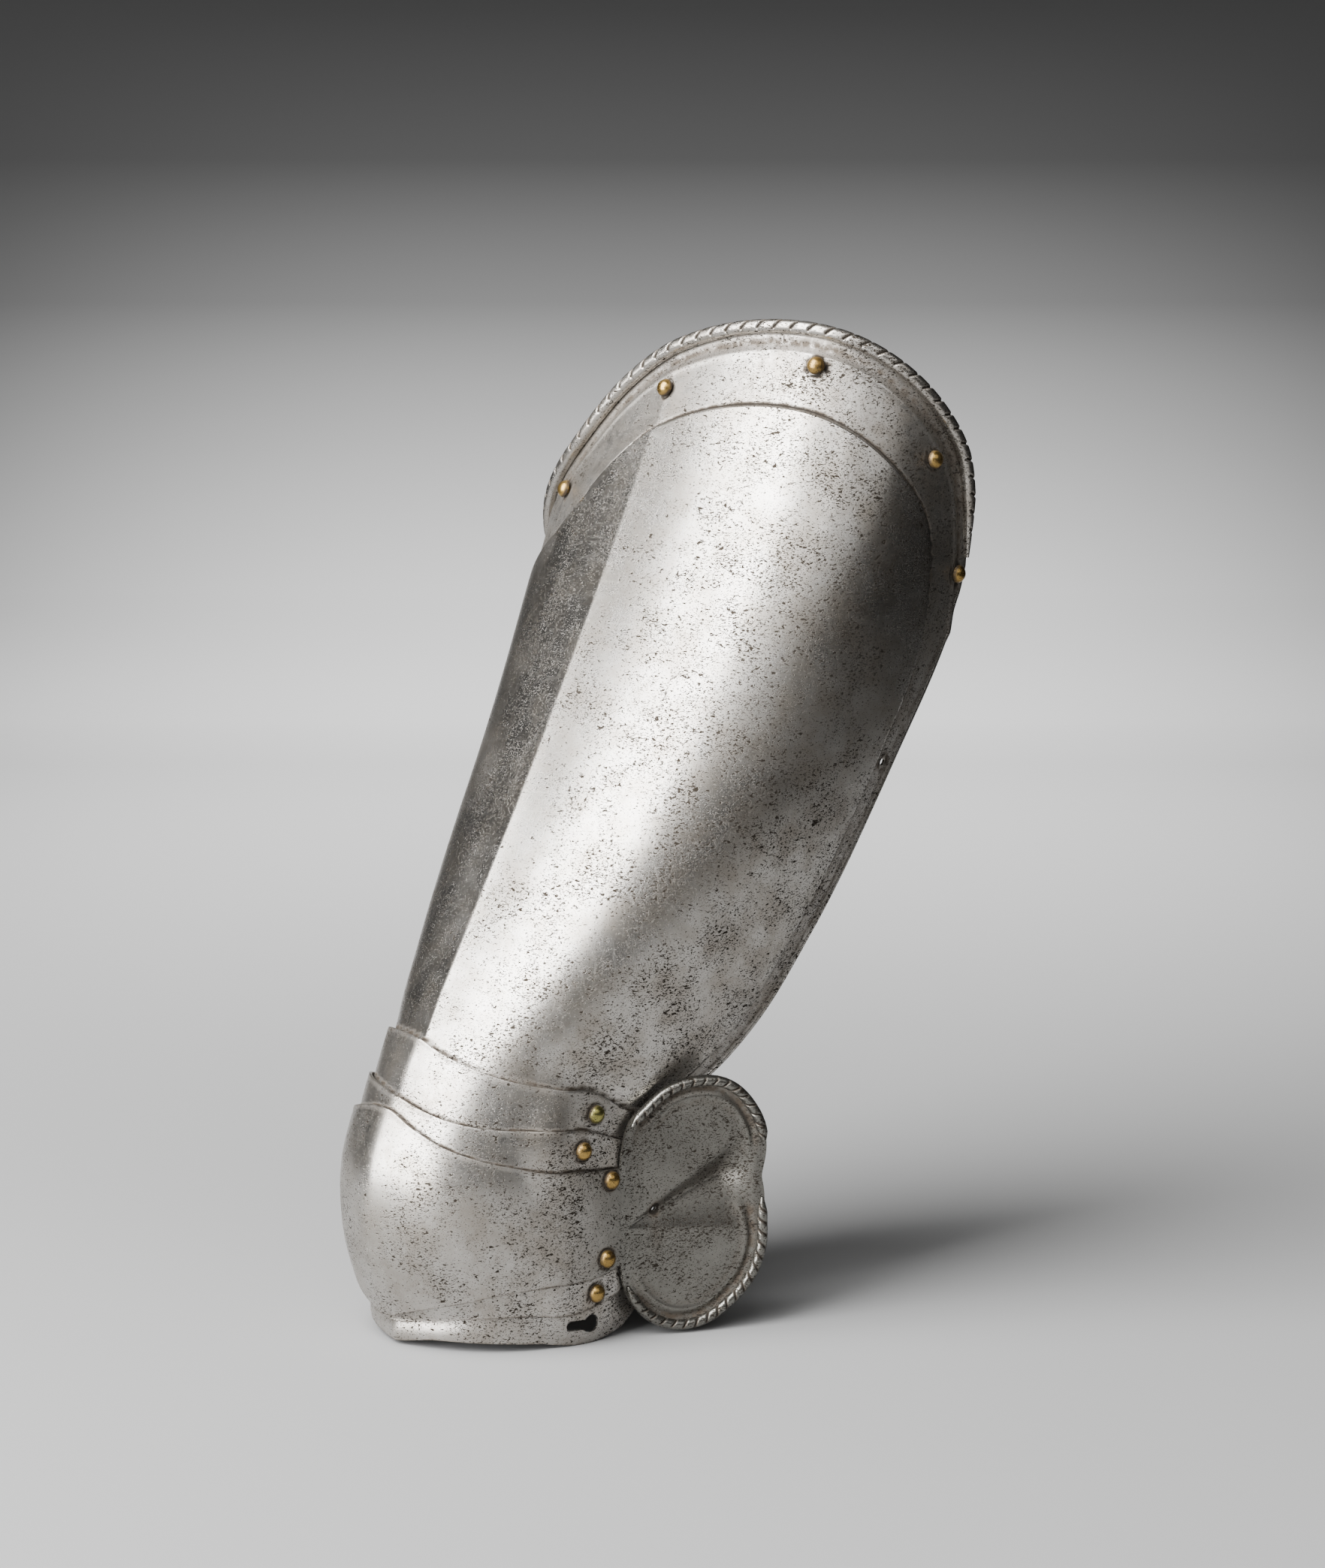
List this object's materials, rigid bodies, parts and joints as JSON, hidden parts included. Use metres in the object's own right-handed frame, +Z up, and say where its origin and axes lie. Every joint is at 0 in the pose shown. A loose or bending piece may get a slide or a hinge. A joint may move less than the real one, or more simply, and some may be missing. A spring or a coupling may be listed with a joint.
{
  "type": "cuisse with poleyn",
  "caption": "Steel thigh defence of a left leg, with a roped upper edge, a ridged knee cop with a heart-shaped side wing, and riveted lames above and below it.",
  "frame": {"origin": "middle of the thigh's hollow, about half way up the thigh plate", "axes": "+Z up, the front of the leg faces -Y, the outer side of this left leg is +X"},
  "size_m": [0.213, 0.2771, 0.4536],
  "materials": {
    "steel": "satin, pitted",
    "rivet_brass": "worn"
  },
  "bodies": {
    "thigh_plate": {"cuisse": "steel", "lining_rivet_1": "rivet_brass", "lining_rivet_2": "rivet_brass", "lining_rivet_3": "rivet_brass", "lining_rivet_4": "rivet_brass", "lining_rivet_5": "rivet_brass", "lining_rivet_6": "rivet_brass"},
    "upper_lame_1": {"upper_lame_1": "steel", "pivot_1_outer": "rivet_brass", "pivot_1_inner": "rivet_brass"},
    "upper_lame_2": {"upper_lame_2": "steel", "pivot_2_outer": "rivet_brass", "pivot_2_inner": "rivet_brass"},
    "knee_cop": {"poleyn": "steel", "pivot_3_outer": "rivet_brass", "pivot_3_inner": "rivet_brass", "pivot_4_outer": "rivet_brass", "pivot_4_inner": "rivet_brass"},
    "lower_lame_1": {"lower_lame_1": "steel", "pivot_5_outer": "rivet_brass", "pivot_5_inner": "rivet_brass"},
    "lower_lame_2": {"lower_lame_2": "steel"}
  },
  "joints": [
    {"name": "upper_lame_1_turn", "type": "hinge", "parent": "thigh_plate", "child": "upper_lame_1", "pos_m": [0, -0.09915, -0.16242], "axis": [1, 0, 0], "range_deg": [-2, 6]},
    {"name": "upper_lame_2_turn", "type": "hinge", "parent": "upper_lame_1", "child": "upper_lame_2", "pos_m": [0, -0.10855, -0.17739], "axis": [1, 0, 0], "range_deg": [-2, 6]},
    {"name": "poleyn_turn", "type": "hinge", "parent": "upper_lame_2", "child": "knee_cop", "pos_m": [0, -0.09339, -0.19293], "axis": [1, 0, 0], "range_deg": [-2, 6]},
    {"name": "lower_lame_1_turn", "type": "hinge", "parent": "knee_cop", "child": "lower_lame_1", "pos_m": [0, -0.09609, -0.22873], "axis": [1, 0, 0], "range_deg": [0, 7]},
    {"name": "lower_lame_2_turn", "type": "hinge", "parent": "lower_lame_1", "child": "lower_lame_2", "pos_m": [0, -0.10101, -0.24408], "axis": [1, 0, 0], "range_deg": [0, 6]}
  ]
}
